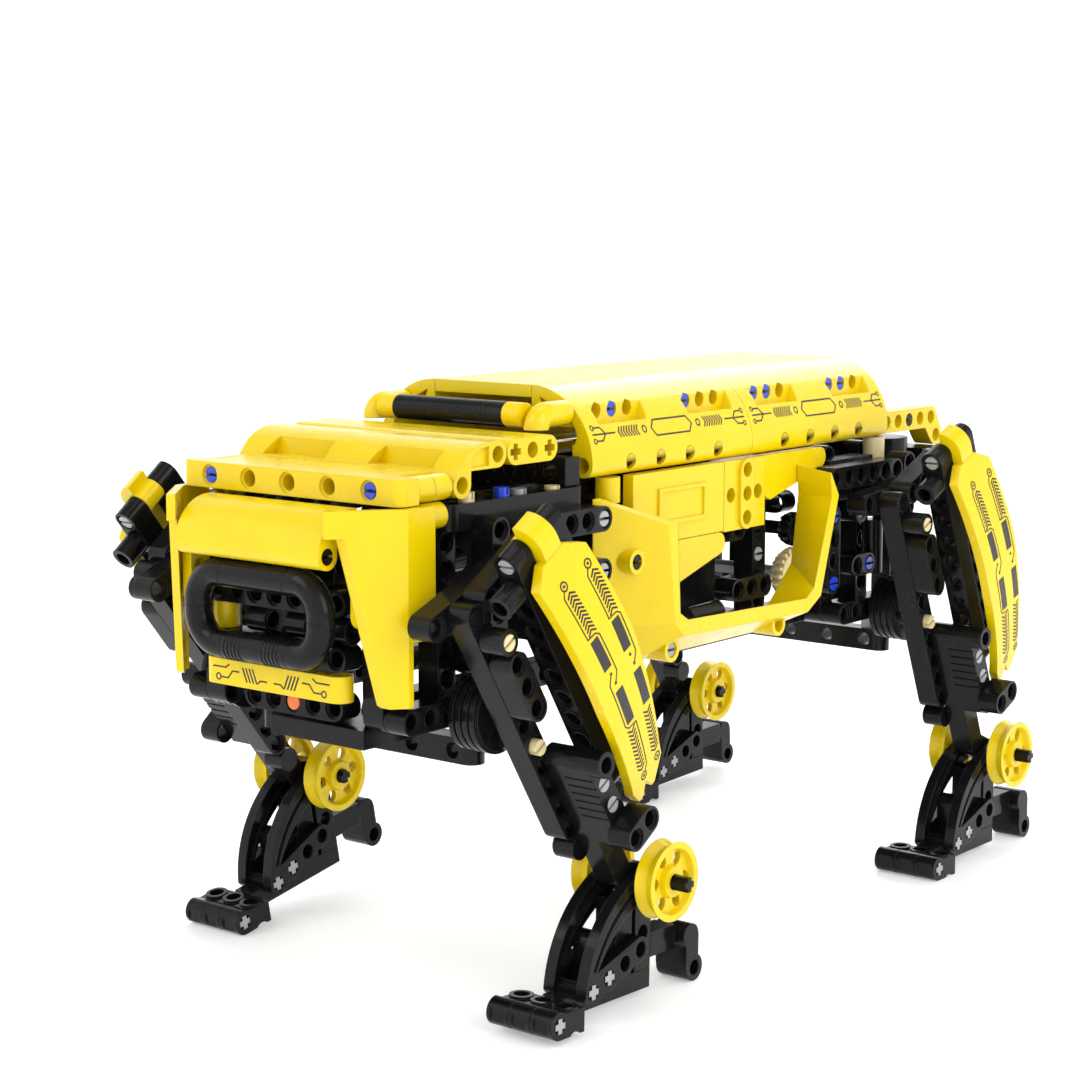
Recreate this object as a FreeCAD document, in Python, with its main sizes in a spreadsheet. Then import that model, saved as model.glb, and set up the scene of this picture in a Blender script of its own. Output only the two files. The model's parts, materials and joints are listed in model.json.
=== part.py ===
"""Quadruped robot dog of pinned beams and panels, in millimetres.

+Z is up, the head faces -Y and +X is the dog's left. The origin is at the middle of the floor rectangle.
A leg is drawn once, for the left side, in its own frame: x is measured from the dog's middle plane, y runs
across the leg and z up along it, with the crank pin at y = z = 0. Links place it four times, each at its own
point of the walking cycle.
"""
import FreeCAD, Part
import math
import os
import re

import Sketcher

V = FreeCAD.Vector
DRIVING_SIZES = {
    "pitch": 8,
    "hole_radius": 2.45,
    "pin_radius": 2.4,
    "recess_radius": 3.1,
    "recess_depth": 0.8,
    "beam_width": 7.8,
    "beam_thickness": 7.7,
    "thin_beam": 3.7,
    "half_width": 44,
    "rail_offset": 6,
    "crank_y": 116,
    "crank_z": 90.7,
    "crank_throw": 8,
    "crank_radius": 11.5,
    "pivot_y": 5.6,
    "pivot_z": 135.2,
    "support_y": 6.8,
    "support_z": 141.5,
    "arm_rise": 48,
    "arm_reach": 32,
    "shank_drop": 61,
    "ankle_shift": 11.3,
    "toe_radius": 4.2,
    "toe_reach": 50,
    "heel_reach": 22,
    "pulley_radius": 12,
    "pulley_width": 6,
    "panel_length": 88,
    "back_radius": 24,
    "back_z": 156.4,
    "back_front": -57,
    "nose_y": -145,
    "deck_z": 156.3,
    "frame_shift": -12.815,
    "ring_tube": 4.2,
}

# Direction of each crank pin from its shaft, in degrees up from the rearward direction.
CRANK_TURNS = {"fl": -80, "fr": -39, "rl": -164, "rr": -73}


def linkage(turn):
    """Pin, joint and ankle places and the two lever angles of a leg, for one direction of its crank."""
    sizes = DRIVING_SIZES
    pin_y = sizes["crank_throw"] * math.cos(math.radians(turn))
    pin_z = sizes["crank_z"] + sizes["crank_throw"] * math.sin(math.radians(turn))
    gap_y, gap_z = sizes["pivot_y"] - pin_y, sizes["pivot_z"] - pin_z
    gap = math.hypot(gap_y, gap_z)
    rise, reach = sizes["arm_rise"], sizes["arm_reach"]
    corner = math.acos((rise ** 2 + gap ** 2 - reach ** 2) / (2 * rise * gap))
    up_leg = math.atan2(gap_z, gap_y) + corner
    joint_y, joint_z = pin_y + rise * math.cos(up_leg), pin_z + rise * math.sin(up_leg)
    lean = up_leg - math.pi / 2
    across, drop = sizes["ankle_shift"], sizes["shank_drop"]
    return {
        "pin_y": pin_y,
        "pin_z": pin_z,
        "lean": math.degrees(lean),
        "rocker": math.degrees(math.atan2(sizes["pivot_z"] - joint_z, sizes["pivot_y"] - joint_y)),
        "turn": turn + 90,
        "ankle_y": pin_y + across * math.cos(lean) + drop * math.sin(lean),
        "ankle_z": pin_z + across * math.sin(lean) - drop * math.cos(lean),
    }


def foot_tilt(ankle_z, toe_down):
    """Angle about x that brings the toe, or else the heel, down to the floor from a raised ankle."""
    sizes = DRIVING_SIZES
    depth = sizes["ankle_height"] - sizes["toe_radius"]
    reach = sizes["toe_reach"] if toe_down else sizes["heel_reach"]
    turn = math.asin((ankle_z - sizes["toe_radius"]) / math.hypot(depth, reach)) - math.atan2(depth, reach)
    return math.degrees(turn if toe_down else -turn)


DRIVING_SIZES["ankle_height"] = linkage(CRANK_TURNS["rl"])["ankle_z"]
for leg, crank_turn in CRANK_TURNS.items():
    pose = linkage(crank_turn)
    pose["tilt"] = foot_tilt(pose["ankle_z"], leg != "fl")
    DRIVING_SIZES.update({f"{leg}_{key}": round(number, 6) for key, number in pose.items()})

doc = FreeCAD.newDocument("RobotDog")
sheet = doc.addObject("Spreadsheet::Sheet", "Sizes")
for row, (alias, number) in enumerate(DRIVING_SIZES.items(), 1):
    sheet.set(f"A{row}", alias)
    sheet.set(f"B{row}", str(number))
    sheet.setAlias(f"B{row}", alias)
doc.recompute()

NODES = {}
BLANKS = {}


def bound(expression):
    """Write the sheet's name before each alias in an expression."""
    def prefix(match):
        return "Sizes." + match[0] if match[0] in DRIVING_SIZES else match[0]
    return re.sub(r"[a-z_]+", prefix, str(expression))


def size(expression):
    """Return an expression's value as a plain number."""
    return float(sheet.evalExpression(bound(expression)))


# ---- sketches and features -------------------------------------------------------------------------------

def new_body(name):
    return doc.addObject("PartDesign::Body", name)


def new_sketch(owner, role, lift="0"):
    """Attach a sketch to one of its own body's origin planes, lifted along the plane's normal."""
    sketch = owner.newObject("Sketcher::SketchObject", owner.Name + "_sketch")
    plane = next(item for item in owner.Origin.OriginFeatures if item.Role == role)
    sketch.AttachmentSupport = [(plane, "")]
    sketch.MapMode = "FlatFace"
    sketch.setExpression("AttachmentOffset.Base.z", bound(lift))
    return sketch


def fix_point(sketch, index, end, point):
    """Bind one end of a sketch element to two expressions, measured from the sketch's origin."""
    for kind, expression in zip(("DistanceX", "DistanceY"), point):
        number = sketch.addConstraint(Sketcher.Constraint(kind, -1, 1, index, end, size(expression)))
        sketch.setExpression(f"Constraints[{number}]", bound(expression))


def outline(sketch, points):
    """Draw a closed outline. A point is (x, y), or (x, y, (mid_x, mid_y)) if an arc leaves from it."""
    first = sketch.GeometryCount
    ends = []
    for index, point in enumerate(points):
        start = V(size(point[0]), size(point[1]), 0)
        after = points[(index + 1) % len(points)]
        stop = V(size(after[0]), size(after[1]), 0)
        if len(point) == 2:
            sketch.addGeometry(Part.LineSegment(start, stop))
            ends.append((1, 2))
            continue
        middle = V(size(point[2][0]), size(point[2][1]), 0)
        sketch.addGeometry(Part.Arc(start, middle, stop))
        counter_clockwise = (middle - start).cross(stop - middle).z > 0
        ends.append((1, 2) if counter_clockwise else (2, 1))
    for index, point in enumerate(points):
        after = (index + 1) % len(points)
        sketch.addConstraint(Sketcher.Constraint(
            "Coincident", first + index, ends[index][1], first + after, ends[after][0]))
        fix_point(sketch, first + index, ends[index][0], point[:2])


def circles(sketch, centres, radius):
    for centre in centres:
        index = sketch.addGeometry(Part.Circle(V(size(centre[0]), size(centre[1]), 0), V(0, 0, 1),
                                               size(radius)))
        fix_point(sketch, index, 3, centre)
        number = sketch.addConstraint(Sketcher.Constraint("Radius", index, size(radius)))
        sketch.setExpression(f"Constraints[{number}]", bound(radius))


def pad(owner, sketch, length, symmetric=True):
    feature = owner.newObject("PartDesign::Pad", owner.Name + "_pad")
    feature.Profile = sketch
    feature.SideType = "Symmetric" if symmetric else "One side"
    feature.setExpression("Length", bound(length))
    return feature


def pocket(owner, sketch, depth=None, reverse=False):
    """Cut a sketch through the whole body, or to a depth on one side of its plane."""
    feature = owner.newObject("PartDesign::Pocket", owner.Name + "_pocket")
    feature.Profile = sketch
    if depth is None:
        feature.Type = "ThroughAll"
        feature.SideType = "Symmetric"
    else:
        feature.setExpression("Length", bound(depth))
        feature.Reversed = reverse
    return feature


def turned(owner, points):
    """Revolve an outline drawn in the XZ plane about the Z axis."""
    sketch = new_sketch(owner, "XZ_Plane")
    outline(sketch, points)
    feature = owner.newObject("PartDesign::Revolution", owner.Name + "_turned")
    feature.Profile = sketch
    feature.ReferenceAxis = (sketch, ["V_Axis"])
    feature.Angle = 360
    return feature


def repeat_round(owner, feature, sketch, count):
    pattern = owner.newObject("PartDesign::PolarPattern", owner.Name + "_pattern")
    pattern.Originals = [feature]
    pattern.Axis = (sketch, ["N_Axis"])
    pattern.Angle = 360
    pattern.Occurrences = count
    owner.Tip = pattern
    return pattern


def prism(name, role, points, length, symmetric=True, lift="0"):
    """A body that is one outline padded from one plane."""
    owner = new_body(name)
    sketch = new_sketch(owner, role, lift)
    outline(sketch, points)
    pad(owner, sketch, length, symmetric)
    return owner


# ---- primitives and instances ----------------------------------------------------------------------------

def turn_to(along, axis):
    """Rotation that takes local x to one direction and local z to another."""
    return FreeCAD.Rotation(V(*along), V(0, 0, 0), V(*axis), "ZXY")


X, Y, Z = (1, 0, 0), (0, 1, 0), (0, 0, 1)
ACROSS = {X: Y, Y: X, Z: X}


def box(low, high):
    """Box between two corners given as expressions."""
    item = doc.addObject("Part::Box", "Block")
    for key, axis, a, b in zip(("Length", "Width", "Height"), "xyz", low, high):
        item.setExpression(key, bound(f"({b}) - ({a})"))
        item.setExpression(f"Placement.Base.{axis}", bound(a))
    return item


def rod(start, axis, length, radius="pin_radius"):
    """Cylinder from a start point along an axis."""
    item = doc.addObject("Part::Cylinder", "Rod")
    item.setExpression("Radius", bound(radius))
    item.setExpression("Height", bound(length))
    item.Placement = FreeCAD.Placement(V(), turn_to(ACROSS[axis], axis))
    for name, value in zip("xyz", start):
        item.setExpression(f"Placement.Base.{name}", bound(value))
    return item


def fuse(items):
    item = doc.addObject("Part::MultiFuse", "Joined")
    item.Shapes = items
    return item


def cut(base, tools):
    item = doc.addObject("Part::Cut", "Trimmed")
    item.Base = base
    item.Tool = tools[0] if len(tools) == 1 else fuse(tools)
    return item


def put(source, at, along=X, axis=Z):
    """Place a link to a shape, with its x along one direction and its z along another."""
    link = doc.addObject("App::Link", source.Name + "_at")
    link.LinkedObject = source
    link.Placement = FreeCAD.Placement(V(), turn_to(along, axis))
    for name, value in zip("xyz", at):
        link.setExpression(f"Placement.Base.{name}", bound(value))
    return link


def common(items):
    item = doc.addObject("Part::MultiCommon", "Shared")
    item.Shapes = items
    return item


def group(items, name="Group"):
    item = doc.addObject("Part::Compound", name)
    item.Links = items
    return item


def mirrored(source):
    item = doc.addObject("Part::Mirroring", source.Name + "_mirrored")
    item.Source = source
    item.Normal = V(1, 0, 0)
    return item


def node(label, items):
    """Gather solids in one named sub-part, moved so that the whole object is centred on the origin."""
    item = group(items, label)
    item.Label = label
    item.setExpression("Placement.Base.y", bound("frame_shift"))
    NODES[label] = item
    return item


def both_sides(items):
    """The left-hand solids and their mirror images."""
    left = group(items, "Left")
    return [left, mirrored(left)]


# ---- repeated blanks -------------------------------------------------------------------------------------

def liftarm(count, thickness="beam_thickness", skipped=()):
    """Round-ended beam with a row of pin holes along x from the origin, hole axes along z, centred."""
    key = (count, thickness, skipped)
    if key in BLANKS:
        return BLANKS[key]
    owner = new_body(f"Beam_{count}")
    half = "beam_width / 2"
    end = f"{count - 1} * pitch"
    sketch = new_sketch(owner, "XY_Plane")
    outline(sketch, [
        ("0", f"-{half}"),
        (end, f"-{half}", (f"{end} + {half}", "0")),
        (end, half),
        ("0", half, (f"-{half}", "0")),
    ])
    centres = [(f"{index} * pitch", "0") for index in range(count) if index not in skipped]
    circles(sketch, centres, "hole_radius")
    pad(owner, sketch, thickness)
    if thickness == "beam_thickness":
        for side, reverse in (("", False), ("-", True)):
            recess = new_sketch(owner, "XY_Plane", f"{side}{thickness} / 2")
            circles(recess, centres, "recess_radius")
            pocket(owner, recess, "recess_depth", reverse)
    BLANKS[key] = owner
    return owner


def beam(count, at, along, axis, **options):
    return put(liftarm(count, **options), at, along, axis)


def barrel(start, axis, length="beam_thickness", radius="beam_width / 2", bore="hole_radius"):
    """Round sleeve with a bore."""
    return cut(rod(start, axis, length, radius), [rod(start, axis, length, bore)])


def pin(start, axis, length):
    """Friction pin: a round shank with a slot across both ends."""
    slot_width, slot_depth = 0.9, 2.2
    shank = rod(start, axis, length)
    slots = []
    for along in ("0", f"({length}) - {slot_depth}"):
        point = [f"({value}) + ({along}) * {step}" for value, step in zip(start, axis)]
        low, high = [], []
        for value, step, tall in zip(point, axis, ACROSS[axis]):
            reach = 3 if tall else slot_width / 2
            low.append(value if step else f"({value}) - {reach}")
            high.append(f"({value}) + {slot_depth}" if step else f"({value}) + {reach}")
        slots.append(box(low, high))
    return cut(shank, slots)


def cross_axle(start, axis, length):
    """Axle of cross section, made of two crossed bars."""
    arm, web = 2.2, 0.9
    bars = []
    for wide in (0, 1):
        low, high, seen = [], [], 0
        for value, step in zip(start, axis):
            if step:
                low.append(value)
                high.append(f"({value}) + {length}")
                continue
            reach = arm if seen == wide else web
            seen += 1
            low.append(f"({value}) - {reach}")
            high.append(f"({value}) + {reach}")
        bars.append(box(low, high))
    return fuse(bars)


# ---- chassis ---------------------------------------------------------------------------------------------

# Middle planes of the beam layers, counted outward from the dog's middle plane.
CORE, INNER, SIDE, OUTER, ROCKER, LEG_INNER, LEG_MIDDLE, LEG_OUTER = (24, 32, 40, 48, 56, 64, 72, 80)
UNDER_DECK = "147.1"
LEG_ENDS = (("f", "-crank_y"), ("r", "crank_y"))


def gearbox_frames():
    """Left-hand beams of the front and rear gearboxes."""
    parts = [
        beam(7, (SIDE, "-crank_y - 24", "crank_z"), Y, X),
        beam(7, (SIDE, "-crank_y - 24", "crank_z + 32"), Y, X),
        beam(8, (SIDE, -120, UNDER_DECK), Y, Z),
        barrel((36.2, -109, 105), X, 9.2, "5.5"),
        beam(7, (SIDE, "crank_y - 24", "crank_z"), Y, X),
        beam(4, (SIDE, 84, "crank_z + 12"), Z, X),
        beam(2, (SIDE, 100, "crank_z + 16.5"), Y, X),
        barrel((36.2, 98.8, 127), X, 9.6),
        rod((SIDE, "crank_y", "crank_z + 12"), Z, 19.5, "beam_width / 2"),
        box((36.2, 80, 132), (43.8, 94.3, 146.6)),
        box((36.2, 94.7, 132), (43.8, 109, 146.6)),
        barrel((SIDE, "crank_y", 131), Z, 13.2),
        rod((33, 133.5, 140.6), Z, 10, "9.5"),
        box((24, 145, 141), (43.8, 160, 145.8)),
    ]
    uprights = (("-crank_y", (8, 8, 8)), ("crank_y", (8, 8, 6)))
    for middle, counts in uprights:
        for count, offset in zip(counts, (-24, 0, 24)):
            parts.append(beam(count, (INNER, f"{middle} + {offset}", "crank_z"), Z, X))
    return parts


def rocker_supports():
    """Left-hand upright that carries each rocker pivot, with two level beams beside it."""
    parts = []
    for _, middle in LEG_ENDS:
        parts.append(beam(3, (OUTER, f"{middle} + pivot_y", "pivot_z - pitch"), Z, X))
    front = "-crank_y + support_y"
    rear = "crank_y + support_y"
    return parts + [
        beam(6, (OUTER, f"{front} + 8", "support_z"), Y, X),
        beam(6, (OUTER, f"{rear} - 50", "support_z"), Y, X),
        beam(5, (OUTER, f"{front} + 16", "support_z - 16"), Y, X),
    ]


def window_beams():
    """Left-hand beams that show through the side window."""
    return [
        beam(5, (INNER, "48", "100.7"), Z, X),
        beam(3, (SIDE, "24", "107.8"), Y, X),
        beam(9, (INNER, "-28", "126.8"), Y, X),
    ]


def cross_rail():
    """Long flat beam under a gearbox, with its holes in the front and rear faces."""
    owner = new_body("Cross_rail")
    sketch = new_sketch(owner, "XY_Plane")
    reach, half = "half_width - beam_width / 2", "beam_width / 2"
    outline(sketch, [
        (f"-({reach})", f"-{half}"),
        (reach, f"-{half}", ("half_width", "0")),
        (reach, half),
        (f"-({reach})", half, ("-half_width", "0")),
    ])
    pad(owner, sketch, "beam_thickness")
    holes = new_sketch(owner, "XZ_Plane")
    circles(holes, [(x, "0") for x in (-36, -20, -4, 4, 20, 36)], "hole_radius")
    pocket(owner, holes)
    return owner


def bottom_rails():
    rail = cross_rail()
    return [put(rail, (0, f"{middle} + rail_offset", "77")) for _, middle in LEG_ENDS]


def spine_beams():
    """Long beams that join the two gearboxes inside the body, and the ties between them."""
    parts = []
    for x in (-CORE, CORE):
        for y in (-132, 4):
            parts.append(beam(15, (x, y, UNDER_DECK), Y, X))
            parts.append(beam(15, (x, y, "crank_z"), Y, X))
    for y in (-92, 92):
        parts.append(beam(5, (-16, y, "129"), X, Y))
    for x in (-16, 16):
        parts.append(beam(8, (x, GEAR_Y, "crank_z"), Z, X))
    return parts


def neck_frame():
    """Upright frame with a row of holes in the gap between hood and back."""
    owner = prism("Neck_frame", "XZ_Plane", [
        ("-42", "151.2"), ("42", "151.2"), ("42", "159.8"), ("-42", "159.8")], "7")
    holes = new_sketch(owner, "XZ_Plane")
    circles(holes, [(x, "155.5") for x in range(-36, 37, 8)], "hole_radius")
    pocket(owner, holes)
    return [put(owner, (0, "-64.5", 0))]


def battery_box():
    case = box((-19, -50, 98), (19, 46, 141.6))
    lid = box((-17, -48, 141.8), (17, 44, 142.9))
    screws = [rod((x, y, 143.1), Z, 1, "1.8") for x in (-12, 12) for y in (-40, 36)]
    return [case, lid] + screws


def drive_motors():
    """Two motors side by side behind the rear gearbox, each with a square gear head."""
    parts = []
    for x in (-10.2, 10.2):
        parts.append(rod((x, 122, 144), Y, 20, "8"))
        parts.append(box((x - 9, 142.2, 135), (x + 9, 156, 152)))
        parts.append(rod((x, 156.2, 144), Y, 3, "3"))
    return parts


# ---- head ------------------------------------------------------------------------------------------------

def front_plate():
    """Deep brow beam across the head, with five holes in its front edge."""
    owner = new_body("Brow")
    sketch = new_sketch(owner, "XY_Plane")
    step = "half_width - pitch"
    outline(sketch, [
        ("-half_width + 3", "0"),
        ("half_width - 3", "0", ("half_width - 0.88", "0.88")),
        ("half_width", "3"),
        ("half_width", "pitch"),
        (step, "pitch"),
        (step, "22.4"),
        (f"-({step})", "22.4"),
        (f"-({step})", "pitch"),
        ("-half_width", "pitch"),
        ("-half_width", "3", ("-half_width + 0.88", "0.88")),
    ])
    pad(owner, sketch, "beam_width")
    centres = [(x, "0") for x in range(-32, 33, 16)]
    holes = new_sketch(owner, "XZ_Plane")
    circles(holes, centres, "hole_radius")
    pocket(owner, holes)
    recess = new_sketch(owner, "XZ_Plane")
    circles(recess, centres, "recess_radius")
    pocket(owner, recess, "recess_depth")
    parts = [put(owner, (0, "nose_y", "deck_z"))]
    for y in (-136.8, -129.6):
        for x in (-40, 40):
            parts.append(barrel((x, y, "deck_z"), Y, "7"))
    for x in (-40, 40):
        parts.append(barrel((x, -133.2, "deck_z - 8.1"), Y, "8.7"))
    return parts


def hood_panel():
    """Curved panel across the head that rises from the brow to the roof panel."""
    owner = new_body("Hood")
    sketch = new_sketch(owner, "YZ_Plane")
    outline(sketch, [
        ("-3.9", "0", ("1.9", "8.3")),
        ("12", "11.6"),
        ("16", "11.6", ("19.9", "7.7")),
        ("16", "3.8"),
        ("3.9", "3.8"),
        ("3.9", "0", ("0", "-3.9")),
    ])
    pad(owner, sketch, "panel_length")
    holes = new_sketch(owner, "YZ_Plane")
    circles(holes, [("0", "0"), ("16", "7.7")], "hole_radius")
    pocket(owner, holes)
    slopes = new_sketch(owner, "XZ_Plane", "8")
    for low, high in ((-34.5, -8.5), (9, 34.5)):
        outline(slopes, [(low, "4.1"), (high, "4.1"), (high, "12.5"), (low + 4.5, "12.5")])
    pocket(owner, slopes, "11.4")
    for side, reverse in (("", False), ("-", True)):
        web = new_sketch(owner, "YZ_Plane", f"{side}(panel_length / 2)")
        outline(web, [("4.2", "4.8"), ("12", "4.8"), ("12", "10.4"), ("8", "9.7"), ("4.6", "7.6")])
        pocket(owner, web, "1.2", reverse)
    return [put(owner, (0, "-118.4", "deck_z"))]


def roof_panel():
    """Flat panel behind the hood, with a cross, a pin hole and a cross in each side."""
    owner = prism("Roof", "YZ_Plane", [
        ("-8", "-3.9"), ("8", "-3.9", ("11.8", "0")), ("8", "3.9"), ("-8", "3.9", ("-11.8", "0"))],
        "panel_length")
    hole = new_sketch(owner, "YZ_Plane")
    circles(hole, [("0", "0")], "hole_radius")
    pocket(owner, hole)
    for y in (-8, 8):
        for wide, tall in (("2.4", "0.95"), ("0.95", "2.4")):
            cross = new_sketch(owner, "YZ_Plane")
            outline(cross, [(f"{y} - {wide}", f"-{tall}"), (f"{y} + {wide}", f"-{tall}"),
                            (f"{y} + {wide}", tall), (f"{y} - {wide}", tall)])
            pocket(owner, cross)
    return [put(owner, (0, "-86.2", "164"))]


def bumper_panel():
    """Curved visor panel above the head ring."""
    owner = new_body("Visor")
    sketch = new_sketch(owner, "YZ_Plane")
    outline(sketch, [
        ("-3.9", "0", ("0.6", "9.3")),
        ("12", "12.6"),
        ("12", "9.6", ("6.4", "7")),
        ("3.9", "0", ("0", "-3.9")),
    ])
    pad(owner, sketch, "57.6")
    holes = new_sketch(owner, "YZ_Plane")
    circles(holes, [("0", "0")], "hole_radius")
    pocket(owner, holes)
    return [put(owner, (0, "-158.4", "138.8"))]


def head_ring():
    """Thick rounded-rectangle tube in front of the head."""
    half_wide, half_high, corner = 24.6, 10.5, 9
    middle_y, middle_z = -157.1, 119.7
    parts = []
    for sign in (-1, 1):
        side_x = sign * half_wide
        side_z = sign * half_high
        parts.append(rod((side_x, middle_y, middle_z - half_high + corner), Z,
                         2 * (half_high - corner), "ring_tube"))
        parts.append(rod((-half_wide + corner, middle_y, middle_z + side_z), X,
                         2 * (half_wide - corner), "ring_tube"))
    for quarter, (sx, sz) in enumerate(((1, -1), (-1, -1), (-1, 1), (1, 1))):
        bend = doc.addObject("Part::Torus", "Bend")
        bend.Radius1 = corner
        bend.setExpression("Radius2", bound("ring_tube"))
        bend.Angle3 = 90
        spot = V(sx * (half_wide - corner), middle_y, middle_z + sz * (half_high - corner))
        tilt = FreeCAD.Rotation(V(1, 0, 0), -90)
        bend.Placement = FreeCAD.Placement(spot, tilt * FreeCAD.Rotation(V(0, 0, 1), 90 * quarter))
        parts.append(bend)
    return [fuse(parts)]


def head_core():
    """Black beams and joiners behind the head ring."""
    parts = [
        beam(7, (-24, -146.9, "108"), X, Y),
        beam(7, (-24, -146.9, "124"), X, Y),
        beam(3, (-8, -146.9, "140"), X, Y),
        beam(5, (-16, -139.6, "91.6"), X, Y),
        barrel((-12, -146.9, "116"), X, "7.8"),
        barrel((4, -146.9, "116"), X, "7.8"),
        barrel((18, -146.9, "116"), X, "9.8"),
    ]
    tray = cut(box((-9.3, -143.5, 81), (28, -121, 86.6)), [box((-7, -141, 80), (25.5, -124, 84.6))])
    parts.append(tray)
    return parts


def head_strips():
    return [
        beam(7, (-24, -148.8, "99.6"), X, Z),
        barrel((-23.5, -146.9, "112.1"), Z, "7.8"),
        beam(3, (34, -149, "121.5"), Z, X, thickness="thin_beam"),
        beam(3, (-34, -149, "121.5"), Z, X, thickness="thin_beam"),
    ]


def cheek():
    """Bent side panel of the head: a slanted front facet and a short side, left-hand one."""
    owner = prism("Cheek", "XY_Plane", [
        ("31.6", "-162.9"), ("46.9", "-145"), ("46.9", "-133.5"), ("44.3", "-133.5"),
        ("44.3", "-144.1"), ("29.6", "-161.2")], "56.2", False, "96")
    front = new_sketch(owner, "YZ_Plane")
    outline(front, [("-165", "144.4"), ("-158.5", "144.4"), ("-150", "96.8", ("-149", "95.9")),
                    ("-147", "95"), ("-165", "95")])
    pocket(owner, front)
    rear = new_sketch(owner, "YZ_Plane")
    outline(rear, [("-143", "114.4"), ("-133", "114.4"), ("-133", "95"), ("-143", "95")])
    pocket(owner, rear)
    return owner


# ---- back ------------------------------------------------------------------------------------------------

def back_panel():
    """Quarter-round side panel: a thick lower edge with a bore, side holes, and two recessed hole rows."""
    owner = new_body("Back_panel")
    section = new_sketch(owner, "XZ_Plane")
    outline(section, [
        ("3.9", "0", ("back_radius * 0.7071 - 20", "back_radius * 0.7071")),
        ("-20", "back_radius"),
        ("-20", "back_radius - 7"),
        ("-13", "back_radius - 7"),
        ("-13", "11"),
        ("-3.9", "11"),
        ("-3.9", "0", ("0", "-3.9")),
    ])
    pad(owner, section, "panel_length - 0.2")
    for side, reverse in (("", False), ("-", True)):
        hollow = new_sketch(owner, "XZ_Plane", f"{side}(panel_length / 2 - 0.1)")
        outline(hollow, [("-17", "20.6"), ("-6.5", "15.2", ("-3.6", "12.4")), ("-2.2", "8.5"),
                         ("-3.2", "6"), ("-14", "12")])
        pocket(owner, hollow, "5", reverse)
    bore = new_sketch(owner, "XZ_Plane")
    circles(bore, [("0", "0")], "hole_radius")
    pocket(owner, bore)
    low = [(f"{y} - panel_length / 2", "0") for y in (20, 36, 52, 68)]
    high = [(f"{y} - panel_length / 2", "16") for y in (12, 20, 28, 60, 68, 76)]
    for centres, plane_x, depth in ((low, "3.9", "5"), (high, "-4", "6")):
        holes = new_sketch(owner, "YZ_Plane", plane_x)
        circles(holes, centres, "hole_radius")
        pocket(owner, holes, depth)
    shelf = new_sketch(owner, "YZ_Plane", "6")
    for y in (7.5, 55.5):
        near = f"{y} - panel_length / 2"
        outline(shelf, [(near, "12.2"), (f"{near} + 25", "12.2"), (f"{near} + 28", "20"), (near, "20")])
    pocket(owner, shelf, "10")
    return owner


def back_top_panels():
    parts = []
    for y in (-56.9, 31.1):
        parts.append(box((-19.8, y, 176.4), (19.8, y + 87.8, 180.4)))
    return parts


def elbow_tubes():
    """Left-hand bent tube from the back down to the roof panel, and the sleeve on the handle's end."""
    bend = doc.addObject("Part::Torus", "Elbow_bend")
    bend.Radius1 = 4.3
    bend.setExpression("Radius2", bound("beam_width / 2"))
    bend.Angle3 = 90
    tilt = FreeCAD.Rotation(V(1, 0, 0), V(0, 0, 0), V(0, 0, 1), "ZXY")
    bend.Placement = FreeCAD.Placement(V(33, -66.6, 168.2), FreeCAD.Rotation(V(0, 0, 1), 90)
                                       * FreeCAD.Rotation(V(1, 0, 0), 90) * tilt
                                       * FreeCAD.Rotation(V(0, 0, 1), 90))
    stub = rod((33, -66.6, 172.5), Y, 9.4, "beam_width / 2")
    turn = fuse([bend, stub])
    return [turn, rod((22.3, -70.9, 172.3), X, 6.6, "beam_width / 2")]


def handle_bar():
    grip = rod((-14, -70.9, 172.3), X, 28, "beam_width / 2 + 0.05")
    ends = [rod((x, -70.9, 172.3), X, 7.9, "beam_width / 2 + 0.05") for x in (-22.1, 14.2)]
    return [grip] + ends


def tail_beam():
    """Bent beam behind the back, with five holes on top and one below the bend."""
    owner = prism("Tail_beam", "YZ_Plane", [
        ("0", "-3.9"), ("28", "-3.9"), ("32.6", "-9.4", ("38.6", "-9.6")), ("39.6", "-4.2"),
        ("35.6", "2.2", ("33.6", "3.9")), ("31", "3.9"), ("0", "3.9", ("-3.9", "0"))],
        "beam_thickness")
    holes = new_sketch(owner, "YZ_Plane")
    circles(holes, [(y, "0") for y in range(0, 33, 8)] + [("36", "-6.9")], "hole_radius")
    pocket(owner, holes)
    return owner


# ---- sides -----------------------------------------------------------------------------------------------

def window_frame():
    """Hollow frame that bulges out of the left side, open at the top."""
    owner = new_body("Window_frame")
    shapes = (
        ("43.9", [(-56.9, 146.4), (-56.9, 106), (-36, 92.5), (38, 92.5), (60, 112), (64, 137), (59, 147)]),
        ("58.5", [(-37, 137.5), (-33, 106), (-28, 101.5), (44, 99.5), (52, 104), (62.5, 137.4),
                  (57.5, 145.5)]),
    )
    hollows = (
        ("43.8", [(-53.4, 175), (-53.4, 108), (-34, 96.5), (37, 96.5), (56, 113.5), (59.8, 137),
                  (55, 175)]),
        ("58.7", [(-34, 175), (-30, 109), (-26, 106.6), (43, 104.4), (47.5, 107), (58, 137), (53.6, 175)]),
    )
    for kind, stack in (("PartDesign::AdditiveLoft", shapes), ("PartDesign::SubtractiveLoft", hollows)):
        sketches = []
        for lift, corners in stack:
            sketch = new_sketch(owner, "YZ_Plane", lift)
            outline(sketch, corners)
            sketches.append(sketch)
        loft = owner.newObject(kind, "Window_loft")
        loft.Profile = sketches[0]
        loft.Sections = sketches[1:]
        loft.Ruled = True
    lugs = new_sketch(owner, "YZ_Plane", "44")
    lug_centres = [(-46.5, 126.6), (-27.7, 96.3), (33.9, 96)]
    circles(lugs, lug_centres, "beam_width / 2")
    pad(owner, lugs, "9.5", False)
    holes = new_sketch(owner, "YZ_Plane")
    circles(holes, lug_centres, "hole_radius")
    pocket(owner, holes)
    return owner


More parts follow.
